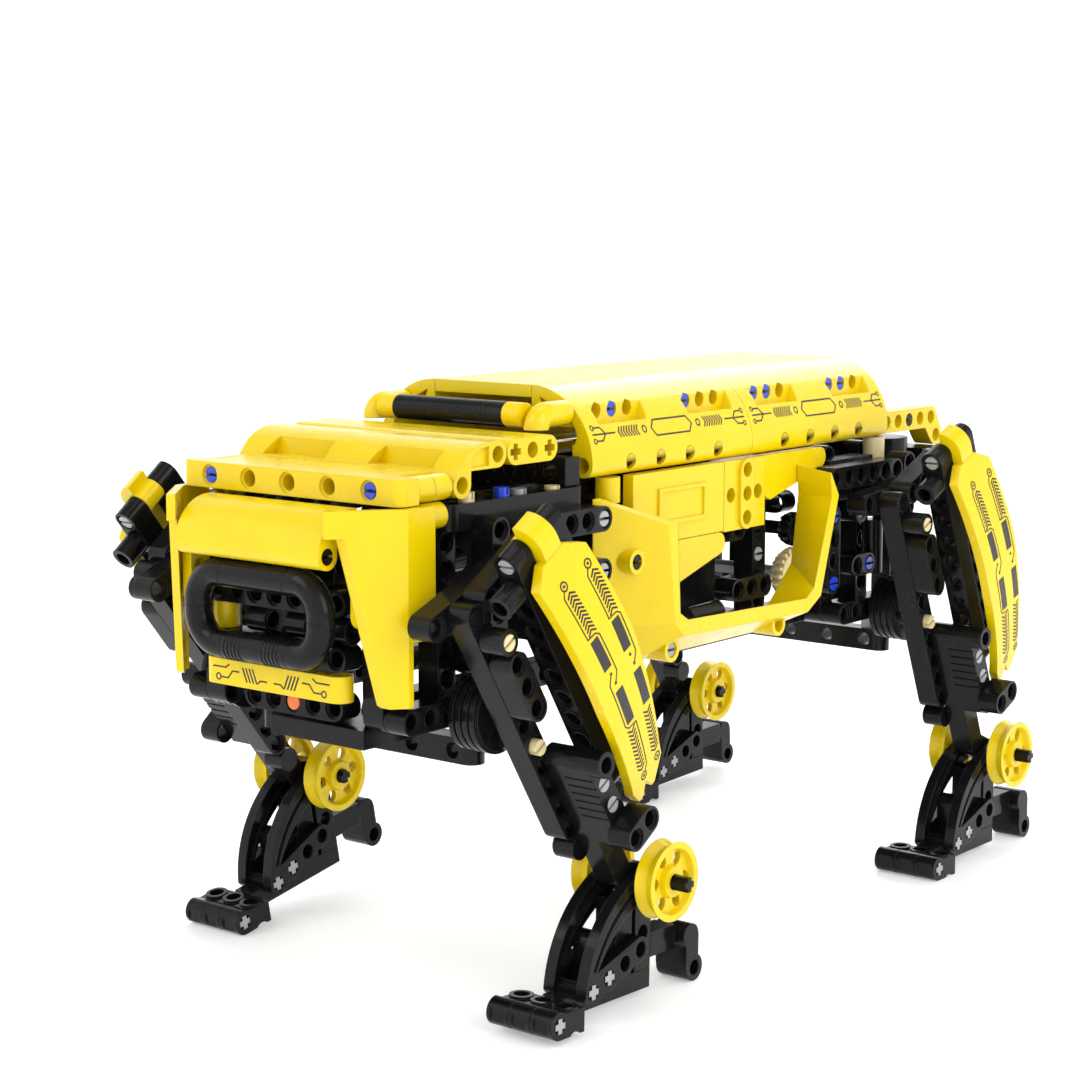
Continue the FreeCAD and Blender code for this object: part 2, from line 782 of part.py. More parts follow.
def side_plates():
    """Left-hand flat panels between back and window: plate, barrel and two fairings."""
    plate = box(("half_width - 4", -36, 129), ("half_width", 14.2, 151.9))
    rim = cut(box(("half_width", -23, 134.4), ("half_width + 0.8", 3.5, 146.4)),
              [box(("half_width - 0.1", -21.5, 135.9), ("half_width + 0.9", 2, 144.9))])
    post = rod(("half_width - 4", -44, 144), Z, 7.9, "beam_width / 2")
    upper = prism("Upper_fairing", "YZ_Plane", [
        ("38.9", "152"), ("74", "152", ("77.6", "148.6")), ("74.6", "145"), ("42.6", "136.6"),
        ("38.9", "138.4")], "3.6", False, "half_width - 4")
    lower = prism("Lower_fairing", "YZ_Plane", [
        ("-32", "128.7"), ("12", "128.7", ("15.8", "125")), ("13.4", "121.6"), ("-14", "113.6"),
        ("-29.6", "108.9")], "3.6", False, "half_width - 4")
    return [fuse([plate, rim]), post, upper, lower]


def cross_block():
    """Square block on the left side with five holes in a cross."""
    owner = prism("Cross_block", "YZ_Plane", [
        ("-12", "-11.9"), ("12.2", "-11.9"), ("12.2", "11.5"), ("-12", "11.5")], "6")
    ribs = new_sketch(owner, "YZ_Plane", "3")
    outline(ribs, [("-3.9", "-8", ("0", "-11.9")), ("3.9", "-8"), ("3.9", "7.6", ("0", "11.5")),
                   ("-3.9", "7.6")])
    pad(owner, ribs, "1.2", False)
    centres = [("0", "0"), ("pitch", "0"), ("-pitch", "0"), ("0", "pitch"), ("0", "-pitch")]
    holes = new_sketch(owner, "YZ_Plane")
    circles(holes, centres, "hole_radius")
    pocket(owner, holes)
    return owner


# ---- pins and small fixed pieces -------------------------------------------------------------------------

def blue_pins():
    """Two pins in the brow, and one side's pins in the recessed rows of the back panels."""
    brow = [pin((x, "nose_y + 0.5", "deck_z"), Y, 7) for x in (-32, 32)]
    rows = (("back_front + 20",), ("back_front + 60",), ("back_front + 100",), ("back_front + 108",),
            ("back_front + 148",), ("back_front + 156",))
    back = [pin((30.3, y, "back_z + 16"), X, 5.5) for (y,) in rows]
    sides = [pin((35, y, f"crank_z + {rise}"), X, 9) for y, rise in ((84, 12), (84, 36), (108, 16.5))]
    shoulder = pin((SIDE, -96, 143.4), Z, 10.2)
    return brow + both_sides(back + sides + [shoulder])


def grey_pins():
    """Pins at the ends of the rocker supports, in the window, and the spacers on the rails."""
    pins = [
        pin((44.3, "-crank_y + support_y + 48", "support_z"), X, 7.4),
        pin((44.3, "-crank_y + support_y + 48", "support_z - 16"), X, 7.4),
        pin((SIDE, -88, 143.4), Z, 9),
        pin((37.8, 98.8, 127), X, 7.6),
        pin((28.3, 48, "116.7"), X, 7.4),
        pin((45, -27.7, 96.3), X, 8),
        rod((36, "crank_y + rail_offset", "81.2"), Z, 5.2, "3"),
        rod((36, "-crank_y + rail_offset", "81.2"), Z, 5.2, "3"),
    ]
    return both_sides(pins)


def black_pins():
    """Pins that the rockers turn on, and the black pins that join fixed beams."""
    pins = [rod((44.4, f"{middle} + pivot_y", "pivot_z"), X, 15.3) for _, middle in LEG_ENDS]
    pins += [
        pin((45, -46.5, 126.6), X, 8.2),
        pin((28.3, 48, "124.7"), X, 7.4),
        pin((20.6, -158.4, 138.8), X, 8),
        pin((33, 141.5, 156.5), X, 6.8),
        rod((SIDE + 1, "-3", "102"), Y, 18, "3.6"),
    ]
    return both_sides(pins)


def tan_tubes():
    """Left-hand upright tubes on the rear gearbox and on the front shoulder."""
    return [barrel((SIDE, "crank_y", 144.5), Z, 7.8), pin((SIDE, -112, 143.4), Z, 10.2),
            pin((SIDE, -72, 143.4), Z, 8.4)]


def orange_pin():
    return [rod((0, -143.4, 91.6), Y, 7.4)]


# ---- gears -----------------------------------------------------------------------------------------------

GEAR_Y, GEAR_Z = 72, "crank_z + 2 * pitch"


def bevel_gear(name, teeth, outer, inner, face, back):
    """Bevel gear on the z axis: teeth narrow from the outer circle at the back to the inner one."""
    owner = new_body(name)
    turned(owner, [("2.45", "0"), (outer - 1.9, "0"), (outer - 1.9, back), (inner - 1.5, back + face),
                   ("2.45", back + face)])
    tooth = new_sketch(owner, "XZ_Plane")
    outline(tooth, [(outer - 2.6, "0.2"), (outer, "0.2"), (outer, back), (inner, back + face),
                    (inner - 2, back + face)])
    feature = pad(owner, tooth, 0.36 * math.pi * 2 * outer / teeth)
    flat = new_sketch(owner, "XY_Plane")
    repeat_round(owner, feature, flat, teeth)
    return owner


def drive_gears():
    gear = bevel_gear("Drive_gear", 20, 9.6, 7.2, 3.2, 2.4)
    return [put(gear, (35.2, GEAR_Y, GEAR_Z), Y, (-1, 0, 0)),
            put(gear, (-35.2, GEAR_Y, GEAR_Z), Y, X)]


def drive_axle():
    return [cross_axle((-39, GEAR_Y, GEAR_Z), X, 78)]


def pinions():
    """Smaller gears on their own shaft above the drive gears, clear of their teeth."""
    gear = bevel_gear("Pinion", 12, 6, 4.8, 2.6, 2)
    height = "crank_z + 4 * pitch"
    return [put(gear, (35.2, GEAR_Y, height), Y, (-1, 0, 0)), put(gear, (-35.2, GEAR_Y, height), Y, X),
            cross_axle((-39, GEAR_Y, height), X, 78)]


# ---- legs ------------------------------------------------------------------------------------------------

def rocker():
    """Lever between the chassis pivot and the top of the leg, drawn about the pivot."""
    return [beam(6, (ROCKER, "-arm_reach - pitch", 0), Y, X)]


def crank():
    """Ribbed disc with its shaft, drawn about the shaft's axis."""
    owner = new_body("Crank_disc")
    rings = []
    for index in range(4):
        x = 46 + index * 2.6
        rings += [("crank_radius", x), ("crank_radius", x + 1.8), ("crank_radius - 0.9", x + 1.8),
                  ("crank_radius - 0.9", x + 2.6)]
    turned(owner, [("0", 46)] + rings + [("0", 46 + 4 * 2.6)])
    disc = put(owner, (0, 0, 0), Y, X)
    shaft = rod((28.5, 0, 0), X, "17.5")
    stub = rod((56.3, 0, "-crank_throw"), X, 3.4)
    return [fuse([disc, shaft, stub])]


def thigh():
    """Black beams, block and joiners of one leg."""
    arm = beam(4, (LEG_INNER, "pitch", "arm_rise"), Y, X)
    long_beam = beam(11, (LEG_INNER, 0, "-4 * pitch"), Z, X)
    hip_beams = [beam(11, (76, y, "59 - 10 * pitch"), Z, Y) for y in (13.5, 29.5)]
    hip_sleeve = barrel((76, 1.5, 51), Y, 7.8)
    block = beam(3, (LEG_MIDDLE, 0, 16), Z, X)
    sleeve = barrel((68.2, 0, 40.2), X, 7.6)
    shank = new_body("Shank")
    face = new_sketch(shank, "YZ_Plane", "68.2")
    outline(face, [
        ("0.1", "-6"), ("0.1", "-54", ("0.5", "-55.7")), ("1.3", "-56.8"),
        ("ankle_shift - 2.7", "-shank_drop - 2.8", ("ankle_shift + 2.8", "-shank_drop - 2.7")),
        ("ankle_shift + 2.7", "-shank_drop + 2.8"), ("7.9", "-52"), ("7.9", "-6")])
    pad(shank, face, "7.6", False)
    knee = new_sketch(shank, "YZ_Plane", "75.8")
    outline(knee, [("0.1", "-7"), ("0.1", "-36"), ("2.1", "-38"), ("5.9", "-38"), ("7.9", "-36"),
                   ("7.9", "-7")])
    pad(shank, knee, "8", False)
    barrel_end = new_sketch(shank, "YZ_Plane", "68.2")
    circles(barrel_end, [("4", "-7")], "beam_width / 2")
    pad(shank, barrel_end, "19.6", False)
    ribs = new_sketch(shank, "XZ_Plane", "1")
    for z in range(-26, -10, 3):
        outline(ribs, [("74", z), ("85", z), ("85", f"{z} + 0.6"), ("74", f"{z} + 0.6")])
    pocket(shank, ribs, "1.6")
    holes = new_sketch(shank, "YZ_Plane")
    circles(holes, [("4", z) for z in (-7, -15, -23, -31)] + [("ankle_shift", "-shank_drop")],
            "hole_radius")
    pocket(shank, holes)
    joiner = rod((60.2, 0, -40.2), X, 7.6, "beam_width / 2")
    outer_joiner = beam(2, (88, 0, -31), Y, X)
    return [arm, long_beam, block, hip_sleeve, sleeve, put(shank, (0, 0, 0), X, Z), joiner,
            outer_joiner] + hip_beams


def thigh_panel():
    """Yellow arched cover: a curved strip with skirts and a ring that sits on the hip pin."""
    rise, sag, top, bottom, wall = "83.6", 6, 55.5, -31.5, 3.2
    owner = new_body("Thigh_cover")
    arc = new_sketch(owner, "XZ_Plane", "-21.5")
    middle = (top + bottom) / 2
    outline(arc, [
        (rise, top, (f"{rise} + {sag}", middle)),
        (rise, bottom),
        (f"{rise} - {wall}", bottom, (f"{rise} + {sag} - {wall}", middle)),
        (f"{rise} - {wall}", top),
    ])
    pad(owner, arc, "24")
    front = [(7, 56), (16.4, 56), (8.6, 50.5), (8.6, 20), (11.6, -23.5), (11.6, -26.5), (14.4, -32), (7, -33)]
    rear = [(35, 56), (25.6, 56), (33, 50.5), (33, 20), (28.2, -19.5), (28.2, -24.5), (22.6, -32), (35, -33)]
    notch = [(15.8, -32.5), (18.8, -27), (21.8, -32.5)]
    for corners in (front, rear, notch):
        shape = new_sketch(owner, "YZ_Plane")
        outline(shape, corners)
        pocket(owner, shape)
    ring = rod((76, 17.6, 59), Y, 7.8, "beam_width / 2")
    tab = box((76, 17.6, 54.4), (83.4, 25.4, 59))
    crown = rod((76, 17.6, 59), Y, 7.8, "7.4")
    tab_outer = box((76, 17.6, 59), (83.4, 25.4, 66.4))
    return [cut(fuse([put(owner, (0, 0, 0), X, Z), tab, ring,
                      common([crown, tab_outer])]), [rod((76, 17.5, 59), Y, 8, "hole_radius")])]


def leg_pins():
    """Pin that hinges the leg on its rocker, tan pins in the thigh, grey pins at hip and knee."""
    return [
        rod((52.3, 0, "arm_rise"), X, 15.4),
        pin((68.3, 0, 40.2), X, 7.7),
        pin((60.3, 0, 0), X, 9.6),
        pin((76, 9.7, 59), Y, 23.6),
        pin((68.3, 4, -15), X, 15.6),
        pin((68.3, 4, -23), X, 15.6),
        cross_axle((68.3, 4, -31), X, 15.4),
    ]


def foot_arch():
    """Thin arched frame over a rising row of four holes, with a raised rim along the arch."""
    row_y, row_z, step_y, step_z = -29.3, -28.3, 7.6, 2.6
    end, sag, dip = 3.9, 3.9, 2.7
    along_y, along_z = step_y / math.hypot(step_y, step_z), step_z / math.hypot(step_y, step_z)
    centres = [(row_y + index * step_y, row_z + index * step_z) for index in range(4)]
    last_y, last_z = centres[-1]
    band = [
        (row_y - end * along_y, row_z - end * along_z, ("-25.4", "-10.2")),
        ("0", end, (end, "0")),
        ("0", -end, ("-19", "-13")),
        ("-27.6", "-23"),
        (last_y - end * along_z, last_z + end * along_y, (last_y + end * along_y, last_z + end * along_z)),
    ]
    for y, z in reversed(centres):
        behind = (y + step_y / 2 + dip * along_z, z + step_z / 2 - dip * along_y)
        if (y, z) == centres[-1]:
            behind = (y + end * along_z + 1.2, z - end * along_y + 0.6)
        band.append((*behind, (y + sag * along_z, z - sag * along_y)))
    arch = new_body("Arch")
    side = new_sketch(arch, "YZ_Plane")
    outline(side, band)
    pad(arch, side, "thin_beam")
    for face, reverse in (("", False), ("-", True)):
        groove = new_sketch(arch, "YZ_Plane", f"{face}thin_beam / 2")
        outline(groove, [("-29.6", "-22.4", ("-22", "-10.6")), ("-6", "0.2"),
                         ("-6", "-1.6", ("-21", "-11.8")), ("-28.2", "-22.6")])
        pocket(arch, groove, "0.8", reverse)
    holes = new_sketch(arch, "YZ_Plane")
    circles(holes, [("0", "0")] + centres, "hole_radius")
    pocket(arch, holes)
    return arch


def toe_joiner():
    """Toe block: a barrel with end rims across the front, and an upright bore behind it."""
    toe = new_body("Toe")
    profile = new_sketch(toe, "YZ_Plane")
    outline(profile, [
        ("0", "toe_radius", ("-toe_radius", "0")), ("0", "-toe_radius"), ("11.4", "-toe_radius"),
        ("11.4", "3"), ("3", "3")])
    pad(toe, profile, "beam_thickness")
    waist = new_sketch(toe, "XY_Plane", "-toe_radius")
    outline(waist, [("-2.6", "-6"), ("2.6", "-6"), ("2.6", "-3.6"), ("-2.6", "-3.6")])
    pocket(toe, waist, "10", True)
    collar = new_sketch(toe, "XY_Plane", "3")
    circles(collar, [("0", "7.2")], "3.7")
    pad(toe, collar, "0.7", False)
    arch = new_sketch(toe, "YZ_Plane")
    outline(arch, [("4.2", "-toe_radius - 1", ("7.2", "-3.2")), ("10.2", "-toe_radius - 1")])
    pocket(toe, arch)
    well = new_sketch(toe, "XY_Plane")
    circles(well, [("0", "7.2")], "hole_radius")
    pocket(toe, well)
    axle = new_sketch(toe, "YZ_Plane")
    circles(axle, [("0", "0")], "hole_radius")
    pocket(toe, axle)
    return toe


def foot():
    """Toe joiners, two arched side frames, two posts and a heel, drawn about the ankle axle."""
    toe_z = "toe_radius - ankle_height"
    arch, toe = foot_arch(), toe_joiner()
    parts = [put(arch, (x, 0, 0), X, Z) for x in (66, 78)]
    parts += [put(toe, (x, "-toe_reach", toe_z), X, Z) for x in (64, 72, 80)]
    parts.append(cross_axle((60.2, "-toe_reach", toe_z), X, 23.8))
    parts += [cross_axle((64.2, y, z), X, 15.8) for y, z in ((-29.3, -28.3), (-21.7, -25.7))]
    front_post = box((68.2, -13.5, -28.8), (75.8, -5.7, -4.8))
    rear_post = cut(box((68.2, -3.9, -28.8), (75.8, 3.9, -4.8)), [rod((68, 0, -17.6), X, 8, "hole_radius")])
    base = cut(box((68.2, -38.4, -35), (75.8, 3.9, -29)), [rod((68, y, z), X, 8, "3") for y, z in (
        (-29.3, -28.3), (-21.7, -25.7))])
    boss = barrel((68.2, -20.5, -17), X, 7.6)
    web = cut(box((68.2, -24.4, -28.8), (75.8, -13.7, -17)), [
        rod((68, -20.5, -17), X, 8, "beam_width / 2 + 0.01"), rod((68, -21.7, -25.7), X, 8, "3"),
        rod((68, -29.3, -28.3), X, 8, "3")])
    arm = box((68.2, 4.1, -26), (75.8, 16.4, -18.4))
    upper = rod((68.2, 20, -22.2), X, 11.4, "beam_width / 2")
    lower = rod((68.2, "heel_reach", toe_z), X, 11.4, "toe_radius")
    neck = box((68.2, 17.6, -32), (79.6, 24, -22.2))
    heel = cut(fuse([arm, upper, lower, neck]),
               [rod((68, "heel_reach", toe_z), X, 12, "hole_radius")])
    return parts + [front_post, rear_post, base, boss, web, heel]


def wheels():
    """Two grooved pulleys and the axle that they share."""
    owner = new_body("Pulley")
    half = "pulley_width / 2"
    turned(owner, [
        ("pin_radius", f"-{half}"), ("4.6", f"-{half}"), ("5.2", "-1"), ("pulley_radius - 2.8", "-1"),
        ("pulley_radius - 2", f"-{half}"), ("pulley_radius", f"-{half}"), ("pulley_radius - 1.6", "0"),
        ("pulley_radius", half), ("pulley_radius - 2", half), ("pulley_radius - 2.8", "1"),
        ("5.2", "1"), ("4.6", half), ("pin_radius", half)])
    hole = new_sketch(owner, "XY_Plane")
    outline(hole, [("7", "-1.75"), ("7.6", "-1.75", ("9.35", "0")), ("7.6", "1.75"),
                   ("7", "1.75", ("5.25", "0"))])
    feature = pocket(owner, hole)
    repeat_round(owner, feature, hole, 6)
    return [put(owner, (x, 0, 0), Y, X) for x in (60.4, 84)] + [cross_axle((55.4, 0, 0), X, 37)]


# ---- nodes -----------------------------------------------------------------------------------------------

def fixed_nodes():
    node("gearbox_frames", both_sides(gearbox_frames()))
    node("rocker_supports", both_sides(rocker_supports()))
    node("window_beams", both_sides(window_beams()))
    node("bottom_rails", bottom_rails())
    node("spine_beams", spine_beams())
    node("neck_frame", neck_frame())
    node("battery_box", battery_box())
    node("drive_motors", drive_motors())
    node("front_plate", front_plate())
    node("hood_panel", hood_panel())
    node("roof_panel", roof_panel())
    node("visor_panel", bumper_panel())
    node("head_ring", head_ring())
    node("head_core", head_core())
    node("head_strips", head_strips())
    left_cheek = cheek()
    node("cheek_panels", [left_cheek, mirrored(left_cheek)])
    panel = back_panel()
    panels = [put(panel, (40, f"back_front + {y}", "back_z"), X, Z) for y in (44, 132)]
    node("back_panels", both_sides(panels))
    node("back_top_panels", back_top_panels())
    node("elbow_tubes", both_sides(elbow_tubes()))
    node("handle_bar", handle_bar())
    node("tail_beams", both_sides([put(tail_beam(), (36, "125.5", "156.5"), X, Z)]))
    node("window_frames", both_sides([put(window_frame(), (0, 0, 0), X, Z)]))
    node("side_plates", both_sides(side_plates()))
    node("cross_blocks", both_sides([put(cross_block(), (41, "26.5", "140.4"), X, Z)]))
    node("blue_pins", blue_pins())
    node("grey_pins", grey_pins())
    node("black_pins", black_pins())
    node("tan_tubes", both_sides(tan_tubes()))
    node("orange_pin", orange_pin())
    node("drive_gears", drive_gears())
    node("drive_axle", drive_axle())
    node("pinions", pinions())


def leg_nodes():
    """Place the left leg's pieces at four corners, mirrored on the right, each in its own pose."""
    drawn = (
        ("rocker", rocker(), "pivot_y", "pivot_z", "rocker"),
        ("crank", crank(), "0", "crank_z", "turn"),
        ("thigh", thigh(), "pin_y", "pin_z", "lean"),
        ("thigh_panel", thigh_panel(), "pin_y", "pin_z", "lean"),
        ("leg_pins", leg_pins(), "pin_y", "pin_z", "lean"),
        ("foot", foot(), "ankle_y", "ankle_z", "tilt"),
        ("wheels", wheels(), "ankle_y", "ankle_z", "tilt"),
    )
    for name, items, y, z, angle in drawn:
        left = group(items, name + "_left")
        right = mirrored(left)
        for side, source in (("l", left), ("r", right)):
            for end, middle in LEG_ENDS:
                own = [key if key in DRIVING_SIZES or key == "0" else f"{end}{side}_{key}"
                       for key in (y, z, angle)]
                link = put(source, (0, f"{middle} + {own[0]}", own[1]), X, Z)
                link.Placement = FreeCAD.Placement(link.Placement.Base,
                                                   FreeCAD.Rotation(V(1, 0, 0), size(own[2])))
                link.setExpression("Placement.Rotation.Angle", bound(f"{own[2]} * 1 deg"))
                node(f"{name}_{end}{side}", [link])


def finish():
    """Recompute, check every object, and write one file for each sub-part."""
    doc.recompute()
    for item in doc.Objects:
        if "Invalid" in item.State or "Error" in item.State:
            raise RuntimeError(f"{item.Name} failed: {item.State}")
    shapes = {label: item.Shape for label, item in NODES.items()}
    for label, shape in shapes.items():
        if shape.isNull() or not shape.isValid():
            raise RuntimeError(f"{label} has no valid shape")
    os.makedirs("parts", exist_ok=True)
    for label, shape in shapes.items():
        shape.exportStep(f"parts/{label}.step")
        bounds = shape.BoundBox
        print(f"{label}: {len(shape.Solids)} solids, {shape.Volume / 1000:.1f} cm3,",
              f"x {bounds.XMin:.1f}..{bounds.XMax:.1f} y {bounds.YMin:.1f}..{bounds.YMax:.1f}",
              f"z {bounds.ZMin:.1f}..{bounds.ZMax:.1f}")


fixed_nodes()
leg_nodes()
finish()
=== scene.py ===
import json
import math

import bmesh
import bpy
import numpy as np
from mathutils import Matrix, Vector
from mathutils.bvhtree import BVHTree


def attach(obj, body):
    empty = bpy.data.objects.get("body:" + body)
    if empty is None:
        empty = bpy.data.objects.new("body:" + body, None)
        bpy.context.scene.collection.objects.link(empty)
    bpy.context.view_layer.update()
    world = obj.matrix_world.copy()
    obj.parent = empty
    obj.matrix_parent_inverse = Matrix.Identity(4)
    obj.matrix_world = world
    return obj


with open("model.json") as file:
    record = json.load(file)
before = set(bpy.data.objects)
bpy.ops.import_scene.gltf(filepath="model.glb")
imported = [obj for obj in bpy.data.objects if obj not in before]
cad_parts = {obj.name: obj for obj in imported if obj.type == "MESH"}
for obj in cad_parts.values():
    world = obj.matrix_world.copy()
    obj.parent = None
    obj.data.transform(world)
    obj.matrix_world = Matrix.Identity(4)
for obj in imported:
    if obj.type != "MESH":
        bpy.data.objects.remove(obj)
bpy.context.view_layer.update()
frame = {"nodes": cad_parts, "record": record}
nodes = frame["nodes"]
MM = 0.001
# The CAD's y shift, in millimetres: positions below are written without it.
SHIFT = -12.815
PRESS_UP, PRESS_DOWN = 0.07, -0.05


# ---- materials ---------------------------------------------------------------------------------------------

def shader(name):
    """A new node material with its Principled shader and a short way to add nodes."""
    made = bpy.data.materials.new(name)
    made.use_nodes = True
    tree = made.node_tree
    principled = next(n for n in tree.nodes if n.type == "BSDF_PRINCIPLED")
    return made, tree, principled


def plastic(name, colour, rough, coat=0.0, tint=0.06, wear=0.0, grain=1.0, texture=0.05, specular=0.5):
    """Moulded plastic: faint flow mottling, fine surface texture, rounded edges and rubbed corners."""
    made, tree, principled = shader(name)
    add, link = tree.nodes.new, tree.links.new
    spot = add("ShaderNodeTexCoord")

    flow = add("ShaderNodeTexNoise")
    flow.inputs["Scale"].default_value = 70 * grain
    flow.inputs["Detail"].default_value = 4
    link(spot.outputs["Object"], flow.inputs["Vector"])
    ramp = add("ShaderNodeValToRGB")
    ramp.color_ramp.elements[0].position = 0.3
    ramp.color_ramp.elements[1].position = 0.72
    ramp.color_ramp.elements[0].color = (*[c * (1 - tint) for c in colour], 1)
    ramp.color_ramp.elements[1].color = (*[min(1, c * (1 + tint) + 0.004 * tint) for c in colour], 1)
    link(flow.outputs["Fac"], ramp.inputs["Fac"])

    edge = add("ShaderNodeBevel")
    edge.samples = 4
    edge.inputs["Radius"].default_value = 0.45 * MM
    flat = add("ShaderNodeNewGeometry")
    match = add("ShaderNodeVectorMath")
    match.operation = "DOT_PRODUCT"
    link(edge.outputs["Normal"], match.inputs[0])
    link(flat.outputs["Normal"], match.inputs[1])
    rub = add("ShaderNodeMapRange")
    rub.inputs["From Min"].default_value = 0.985
    rub.inputs["From Max"].default_value = 0.8
    rub.inputs["To Min"].default_value = 0.0
    rub.inputs["To Max"].default_value = wear
    link(match.outputs["Value"], rub.inputs["Value"])
    worn = add("ShaderNodeMix")
    worn.data_type = "RGBA"
    pale = [c + (1 - c) * 0.28 for c in colour]
    worn.inputs["B"].default_value = (*pale, 1)
    link(rub.outputs["Result"], worn.inputs["Factor"])
    link(ramp.outputs["Color"], worn.inputs["A"])
    link(worn.outputs["Result"], principled.inputs["Base Color"])

    smudge = add("ShaderNodeTexNoise")
    smudge.inputs["Scale"].default_value = 160 * grain
    smudge.inputs["Detail"].default_value = 6
    link(spot.outputs["Object"], smudge.inputs["Vector"])
    sheen = add("ShaderNodeMapRange")
    sheen.inputs["From Min"].default_value = 0.3
    sheen.inputs["From Max"].default_value = 0.7
    sheen.inputs["To Min"].default_value = rough * 0.75
    sheen.inputs["To Max"].default_value = rough * 1.3
    link(smudge.outputs["Fac"], sheen.inputs["Value"])
    link(sheen.outputs["Result"], principled.inputs["Roughness"])

    pores = add("ShaderNodeTexNoise")
    pores.inputs["Scale"].default_value = 1500 * grain
    pores.inputs["Detail"].default_value = 3
    link(spot.outputs["Object"], pores.inputs["Vector"])
    relief = add("ShaderNodeBump")
    relief.inputs["Strength"].default_value = texture
    relief.inputs["Distance"].default_value = 0.05 * MM
    link(pores.outputs["Fac"], relief.inputs["Height"])
    link(edge.outputs["Normal"], relief.inputs["Normal"])
    link(relief.outputs["Normal"], principled.inputs["Normal"])

    principled.inputs["Specular IOR Level"].default_value = specular
    principled.inputs["Coat Weight"].default_value = coat
    principled.inputs["Coat Roughness"].default_value = 0.06
    return made


SLOTS = {
    "yellow": plastic("yellow_abs", (0.8, 0.585, 0.0), 0.24, coat=0.1, tint=0.03, wear=0.22, specular=0.32),
    "gloss_black": plastic("black_abs", (0.006, 0.006, 0.0065), 0.18, coat=0.05, tint=0.2, wear=0.05,
                           specular=0.16),
    "motor": plastic("motor_black", (0.018, 0.018, 0.02), 0.42, tint=0.15, wear=0.06, texture=0.16),
    "blue": plastic("blue_abs", (0.005, 0.05, 0.62), 0.24, coat=0.2, tint=0.08, wear=0.15),
    "grey": plastic("grey_abs", (0.34, 0.35, 0.36), 0.3, coat=0.1, tint=0.05, wear=0.15),
    "tan": plastic("tan_abs", (0.78, 0.66, 0.36), 0.3, coat=0.1, tint=0.05, wear=0.2),
    "orange": plastic("orange_abs", (0.8, 0.17, 0.01), 0.26, coat=0.2, tint=0.08, wear=0.2),
}
PRINT = plastic("print_ink", (0.012, 0.011, 0.01), 0.38, tint=0.3, grain=3.0, texture=0.1)

for row in frame["record"]["subparts"]:
    item = nodes[row["node"]]
    item.data.materials.clear()
    item.data.materials.append(SLOTS[row["material_slot"]])


def loose_pieces(mesh):
    """The polygons of each connected piece of a mesh, with its middle and its size in millimetres."""
    count = len(mesh.vertices)
    parent = list(range(count))

    def root(i):
        while parent[i] != i:
            parent[i] = parent[parent[i]]
            i = parent[i]
        return i

    points = np.zeros(count * 3)
    mesh.vertices.foreach_get("co", points)
    points = points.reshape(-1, 3)
    seen = {}
    for i, key in enumerate(map(tuple, np.round(points / (0.002 * MM)).astype(int))):
        parent[root(i)] = root(seen.setdefault(key, i))
    for edge in mesh.edges:
        a, b = edge.vertices
        parent[root(a)] = root(b)
    groups = {}
    for polygon in mesh.polygons:
        groups.setdefault(root(polygon.vertices[0]), []).append(polygon)
    found = []
    for polygons in groups.values():
        corners = points[sorted({v for polygon in polygons for v in polygon.vertices})]
        low, high = corners.min(0) / MM, corners.max(0) / MM
        found.append((polygons, (low + high) / 2, high - low))
    return found


def paint(node, slot, wanted, ends_only=False):
    """Give another colour to the pieces of a node that pass a test, or only to their ends along x."""
    mesh = nodes[node].data
    mesh.materials.append(SLOTS[slot])
    index = len(mesh.materials) - 1
    for polygons, middle, extent in loose_pieces(mesh):
        if wanted(middle, extent):
            reach = extent[0] / 2 - 0.2 if ends_only else 0
            for polygon in polygons:
                if abs(polygon.center.x / MM - middle[0]) >= reach:
                    polygon.material_index = index


# ---- printed marks -----------------------------------------------------------------------------------------

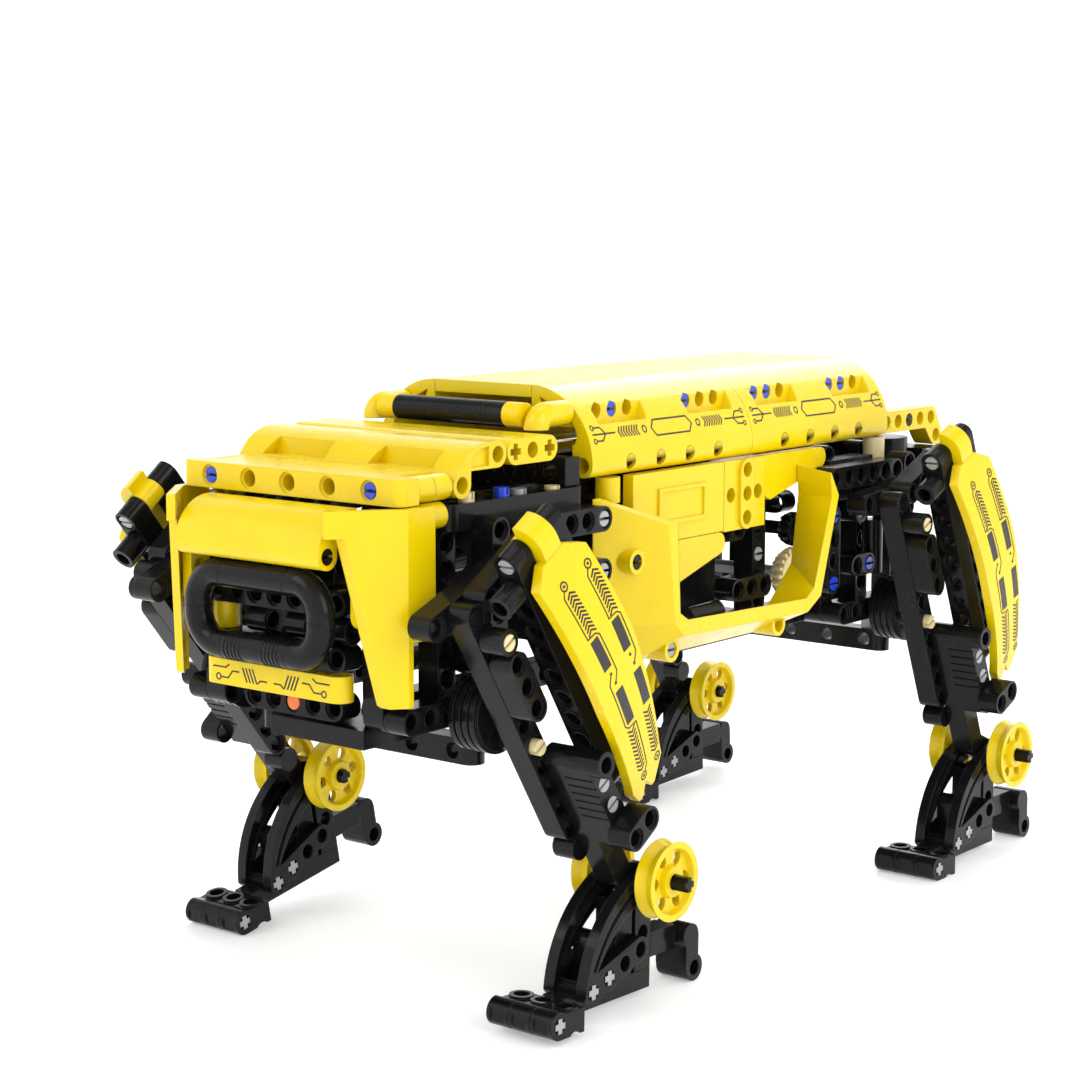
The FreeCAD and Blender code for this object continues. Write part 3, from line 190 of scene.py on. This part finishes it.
class Marks:
    """Printed marks, drawn in millimetres on a plane and pressed onto the surface of a CAD node."""

    def __init__(self, node, place, toward):
        mesh = nodes[node].data
        self.tree = BVHTree.FromPolygons([v.co for v in mesh.vertices], [p.vertices for p in mesh.polygons])
        self.place, self.toward = place, Vector(toward)
        self.bm = bmesh.new()

    def press(self, point):
        """Find the surface under a drawn point, and return the two corners just above and below it."""
        start = Vector(self.place(*point)) * MM - self.toward * 0.1
        hit, normal, _, _ = self.tree.ray_cast(start, self.toward)
        if hit is None:
            return None
        if normal.dot(self.toward) > 0:
            normal = -normal
        return [self.bm.verts.new(hit + normal * lift * MM) for lift in (PRESS_UP, PRESS_DOWN)]

    def stroke(self, points, width, closed=False, step=2.2):
        """A line of even width, with mitred corners, cut short enough to follow a curve."""
        path = [np.array(p, float) for p in points]
        if closed:
            path.append(path[0])
        fine = [path[0]]
        for a, b in zip(path, path[1:]):
            pieces = max(1, math.ceil(np.linalg.norm(b - a) / step))
            fine += [a + (b - a) * i / pieces for i in range(1, pieces + 1)]
        rows = []
        last = len(fine) - 1
        for i, point in enumerate(fine):
            before = fine[i - 1] if i else (fine[-2] if closed else None)
            after = fine[i + 1] if i < last else (fine[1] if closed else None)
            turns = []
            for a, b in ((before, point), (point, after)):
                if a is not None and b is not None:
                    along = (b - a) / (np.linalg.norm(b - a) + 1e-9)
                    turns.append(np.array([-along[1], along[0]]))
            side = sum(turns)
            side = side / (np.linalg.norm(side) + 1e-9)
            side = side * (width / 2 / max(0.5, side.dot(turns[0])))
            rows.append([self.press(point + side), self.press(point - side)])
        if any(corner is None for row in rows for corner in row):
            return
        for a, b in zip(rows, rows[1:]):
            (p, q), (r, s) = a, b
            for loop in ((p[0], q[0], s[0], r[0]), (p[1], r[1], s[1], q[1]),
                         (p[0], r[0], r[1], p[1]), (q[0], q[1], s[1], s[0])):
                self.bm.faces.new(loop)
        if not closed:
            for (p, q) in (rows[0], rows[-1]):
                self.bm.faces.new((p[0], p[1], q[1], q[0]))

    def circle(self, centre, radius, width):
        corners = 20
        turns = [t * math.tau / corners for t in range(corners)]
        ring = [(centre[0] + radius * math.cos(turn), centre[1] + radius * math.sin(turn)) for turn in turns]
        self.stroke(ring, width, closed=True)

    def dot(self, centre, radius):
        across, up = centre
        self.stroke([(across - radius, up), (across + radius, up)], radius * 1.8, step=radius)

    def piece(self, name, body):
        bmesh.ops.remove_doubles(self.bm, verts=self.bm.verts, dist=1e-6)
        bmesh.ops.recalc_face_normals(self.bm, faces=self.bm.faces)
        return keep(self.bm, name, body, PRINT, smooth=False)


def keep(bm, name, body, material, smooth=True):
    """Turn a bmesh into a named piece that rides on a body."""
    mesh = bpy.data.meshes.new(name)
    bm.to_mesh(mesh)
    bm.free()
    if smooth:
        mesh.shade_smooth()
    item = bpy.data.objects.new(name, mesh)
    bpy.context.collection.objects.link(item)
    mesh.materials.append(material)
    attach(item, body)
    return item


OUTSIDE = 250
BACK_Z, CHIN_Z = 156.4, 99.6
BACK_PANEL_STARTS = (-57, 31)
THROW, ARM_RISE, ARM_REACH = 8, 48, 32
CRANK_Y, CRANK_Z, PIVOT_Y, PIVOT_Z = 116, 90.7, 5.6, 135.2
# Side, crank position and crank direction of each leg.
LEGS = {
    "fl": (1, -CRANK_Y, -80),
    "fr": (-1, -CRANK_Y, -39),
    "rl": (1, CRANK_Y, -164),
    "rr": (-1, CRANK_Y, -73),
}


def on_leg(leg):
    """Where a point drawn across and along a leg lies, in millimetres, on the leg's outer side."""
    side, middle, turn = LEGS[leg]
    pin_y = THROW * math.cos(math.radians(turn))
    pin_z = CRANK_Z + THROW * math.sin(math.radians(turn))
    gap_y, gap_z = PIVOT_Y - pin_y, PIVOT_Z - pin_z
    gap = math.hypot(gap_y, gap_z)
    corner = math.acos((ARM_RISE ** 2 + gap ** 2 - ARM_REACH ** 2) / (2 * ARM_RISE * gap))
    lean = math.atan2(gap_z, gap_y) + corner - math.pi / 2

    def place(across, along):
        y = middle + pin_y + SHIFT + across * math.cos(lean) - along * math.sin(lean)
        z = pin_z + across * math.sin(lean) + along * math.cos(lean)
        return side * OUTSIDE, y, z
    return place


def leg_print(leg):
    """Two columns of marks down a leg cover, each the same when turned upside down."""
    side = LEGS[leg][0]
    marks = Marks("thigh_panel_" + leg, on_leg(leg), (-side, 0, 0))
    columns = ((18.0, 0.0, 14.0, 0.9, 1.05), (27.8, 0.055, 13.0, 0.9, 1.0))
    for across, drift, middle, above, below in columns:
        for flip in (1, -1):
            def at(a, b):
                rise = flip * b * (above if flip * b > 0 else below)
                return across + flip * a + drift * rise, middle + rise

            def line(points, width=0.45, **more):
                marks.stroke([at(*point) for point in points], width, **more)
            marks.circle(at(-0.2, 36.6), 1.3, 0.5)
            marks.dot(at(-0.2, 36.6), 0.45)
            line([(-1.1, 35.5), (-2.5, 33.6), (-2.5, 17.6), (1.2, 17.2), (2.5, 15.8), (2.5, 1.0),
                  (0.2, -1.8)])
            marks.dot(at(0.2, -1.8), 0.5)
            for row in range(11):
                top = 33.8 - 1.45 * row
                line([(-1.5, top - 1.4), (0.4, top), (2.3, top - 1.4)], 0.6)
            line([(-0.4, 16), (-0.4, 4.2)], 3.7, step=1.5)
    return marks.piece("leg_print_" + leg, "leg_" + leg)


for leg in LEGS:
    leg_print(leg)


def back_print(name, side, start):
    """A row of marks along one curved back panel: forks, chevrons, dots and a long plate outline."""
    def place(along, up):
        return side * OUTSIDE, start + along + SHIFT, BACK_Z + up
    marks = Marks("back_panels", place, (-side, 0, 0))
    for flip in (1, -1):
        def at(along):
            return 44 + flip * (along - 44)
        marks.stroke([(at(3.5), 11.4), (at(7), 11.4), (at(9), 9.4), (at(14), 9.4)], 0.5)
        marks.stroke([(at(3.5), 7.4), (at(7), 7.4), (at(9), 9.4)], 0.5)
        marks.stroke([(at(2.4), 9.4), (at(9), 9.4)], 0.5)
        marks.circle((at(3.1), 11.4), 0.7, 0.4)
        marks.circle((at(3.1), 7.4), 0.7, 0.4)
        for row in range(8):
            y = at(16.2 + row * 1.35)
            marks.stroke([(y + flip * 0.6, 11), (y - flip * 0.5, 9.4), (y + flip * 0.6, 7.8)], 0.55)
        marks.circle((at(29.3), 9.4), 1.0, 0.5)
    marks.stroke([(33, 9.4), (35, 11.8), (53, 11.8), (55, 9.4), (53, 7), (35, 7)], 0.55, closed=True)
    return marks.piece(name, "chassis")


for side, word in ((1, "left"), (-1, "right")):
    for number, start in enumerate(BACK_PANEL_STARTS):
        back_print(f"back_print_{word}_{number + 1}", side, start)


def chin_print():
    """Marks across the yellow beam under the head ring, mirrored about the middle."""
    def place(along, up):
        return along, -OUTSIDE, CHIN_Z + up
    marks = Marks("head_strips", place, (0, 1, 0))
    for side in (-1, 1):
        def line(points, width=0.45):
            marks.stroke([(side * along, up) for along, up in points], width)
        marks.circle((side * 21.4, -1.6), 0.9, 0.45)
        line([(20.3, -1.6), (17.4, -1.6), (15.6, 0.6), (12.8, 0.6)])
        line([(23.6, 1.4), (18.4, 1.4), (16.9, 2.4)])
        for row in range(4):
            line([(11.4 - row * 1.35, 2.1), (9.6 - row * 1.35, -2.1)], 0.55)
        line([(5.2, -2), (4.2, -1), (1.4, -1)])
    return marks.piece("chin_print", "chassis")


chin_print()


# ---- small fitted pieces -----------------------------------------------------------------------------------

RING_MIDDLE, RING_HALF, RING_TUBE = (-157.1 + SHIFT, 119.7), (24.6, 10.5), 4.2


def band(bm, centre, along, width, height):
    """A raised band round a tube of the head ring, with its axis along x or z."""
    tube, steps = RING_TUBE, 28
    rings = []
    for shift, radius in ((-width / 2, tube + 0.02), (-width / 4, tube + height), (width / 4, tube + height),
                          (width / 2, tube + 0.02), (0, tube - 0.3)):
        ring = []
        for t in range(steps):
            a, b = radius * math.cos(t * math.tau / steps), radius * math.sin(t * math.tau / steps)
            offset = (shift, a, b) if along == "x" else (a, b, shift)
            ring.append(bm.verts.new(Vector([c + o for c, o in zip(centre, offset)]) * MM))
        rings.append(ring)
    for a, b in zip(rings, rings[1:] + rings[:1]):
        for t in range(steps):
            bm.faces.new((a[t], a[(t + 1) % steps], b[(t + 1) % steps], b[t]))


def ring_bands():
    """Ribs under the head ring, and the raised joint lines between its pieces."""
    y, z = RING_MIDDLE
    half_wide, half_high = RING_HALF
    ribs, joints = bmesh.new(), bmesh.new()
    joint = (0.5, 0.12)
    for side in (-1, 1):
        for number in range(5):
            band(ribs, (side * (4.6 + 1.5 * number), y, z - half_high), "x", 0.9, 0.25)
        for rise in (-half_high, half_high):
            band(joints, (side * 13, y, z + rise), "x", *joint)
        band(joints, (side * half_wide, y, z), "z", *joint)
    for name, bm in (("ring_ribs", ribs), ("ring_joints", joints)):
        bmesh.ops.recalc_face_normals(bm, faces=bm.faces)
        keep(bm, name, "chassis", SLOTS["gloss_black"])


ring_bands()

for leg in LEGS:
    paint("leg_pins_" + leg, "grey", lambda centre, extent: abs(centre[0]) > 74)
    paint("leg_pins_" + leg, "gloss_black", lambda centre, extent: abs(centre[0]) < 62)
    paint("foot_" + leg, "grey", lambda centre, extent: extent[0] > 15 and max(extent[1:]) < 6, True)
    paint("wheels_" + leg, "gloss_black", lambda centre, extent: extent[0] > 20)


# ---- stage, camera and lights ------------------------------------------------------------------------------

def pale(name, colour):
    made, tree, principled = shader(name)
    noise = tree.nodes.new("ShaderNodeTexNoise")
    noise.inputs["Scale"].default_value = 3
    ramp = tree.nodes.new("ShaderNodeValToRGB")
    ramp.color_ramp.elements[0].color = (*[c * 0.985 for c in colour], 1)
    ramp.color_ramp.elements[1].color = (*colour, 1)
    tree.links.new(noise.outputs["Fac"], ramp.inputs["Fac"])
    tree.links.new(ramp.outputs["Color"], principled.inputs["Base Color"])
    principled.inputs["Roughness"].default_value = 0.5
    principled.inputs["Emission Color"].default_value = (1, 1, 1, 1)
    principled.inputs["Emission Strength"].default_value = 0.3
    return made


def studio_bowl():
    """Round floor that curves up into a low wall, so the horizon never shows."""
    bm = bmesh.new()
    floor_radius, bend, wall_height, segments = 1.6, 0.9, 2.4, 72
    profile = [(0.6, 0.0), (floor_radius, 0.0)]
    profile += [(floor_radius + bend * math.sin(t), bend * (1 - math.cos(t)))
                for t in np.linspace(0.15, math.pi / 2, 9)]
    profile += [(floor_radius + bend, wall_height)]
    rings = [[bm.verts.new((r * math.cos(t * math.tau / segments), r * math.sin(t * math.tau / segments), z))
              for t in range(segments)] for r, z in profile]
    centre = bm.verts.new((0, 0, 0))
    for t in range(segments):
        bm.faces.new((centre, rings[0][t], rings[0][(t + 1) % segments]))
    for a, b in zip(rings, rings[1:]):
        for t in range(segments):
            bm.faces.new((a[t], b[t], b[(t + 1) % segments], a[(t + 1) % segments]))
    bmesh.ops.recalc_face_normals(bm, faces=bm.faces)
    mesh = bpy.data.meshes.new("studio_floor")
    bm.to_mesh(mesh)
    bm.free()
    mesh.shade_smooth()
    mesh.materials.append(pale("pale_floor", (0.93, 0.93, 0.93)))
    item = bpy.data.objects.new("studio_floor", mesh)
    bpy.context.collection.objects.link(item)


studio_bowl()

AZIMUTH, ELEVATION = math.radians(39.12), math.radians(7.47)
back = Vector((math.sin(AZIMUTH) * math.cos(ELEVATION), -math.cos(AZIMUTH) * math.cos(ELEVATION),
               math.sin(ELEVATION)))
right = Vector((math.cos(AZIMUTH), math.sin(AZIMUTH), 0))
up = back.cross(right)
lens = bpy.data.cameras.new("camera")
lens.lens, lens.sensor_width = 80.13, 36
lens.shift_x, lens.shift_y = 0.0205, -0.0243
lens.clip_start, lens.clip_end = 0.01, 20
camera = bpy.data.objects.new("camera", lens)
EYE = (0.48703, -0.650815, 0.2377)
camera.matrix_world = Matrix.Translation(EYE) @ Matrix((right, up, back)).transposed().to_4x4()
bpy.context.collection.objects.link(camera)
bpy.context.scene.camera = camera


def soft_light(name, place, target, power, wide, tall, colour=(1, 1, 1)):
    light = bpy.data.lights.new(name, "AREA")
    light.shape = "RECTANGLE"
    light.size, light.size_y, light.energy, light.color = wide, tall, power, colour
    item = bpy.data.objects.new(name, light)
    item.location = place
    item.rotation_mode = "QUATERNION"
    item.rotation_quaternion = (Vector(target) - Vector(place)).to_track_quat("-Z", "Y")
    bpy.context.collection.objects.link(item)


soft_light("key_light", (-0.6, -1.25, 1.35), (0, 0, 0.09), 6, 0.9, 0.9)
soft_light("side_light", (1.5, -0.15, 0.85), (0, 0, 0.09), 8, 0.8, 1.2)
soft_light("top_light", (0.1, 0.2, 1.7), (0, 0, 0.1), 7.5, 1.3, 1.3)
soft_light("back_light", (-0.5, 1.5, 1.0), (0, 0, 0.1), 7, 1.0, 0.8)
bpy.context.scene.view_settings.view_transform = "Standard"
world = bpy.data.worlds.new("studio")
bpy.context.scene.world = world
world.use_nodes = True
world.node_tree.nodes["Background"].inputs["Color"].default_value = (1, 1, 1, 1)
world.node_tree.nodes["Background"].inputs["Strength"].default_value = 0.45
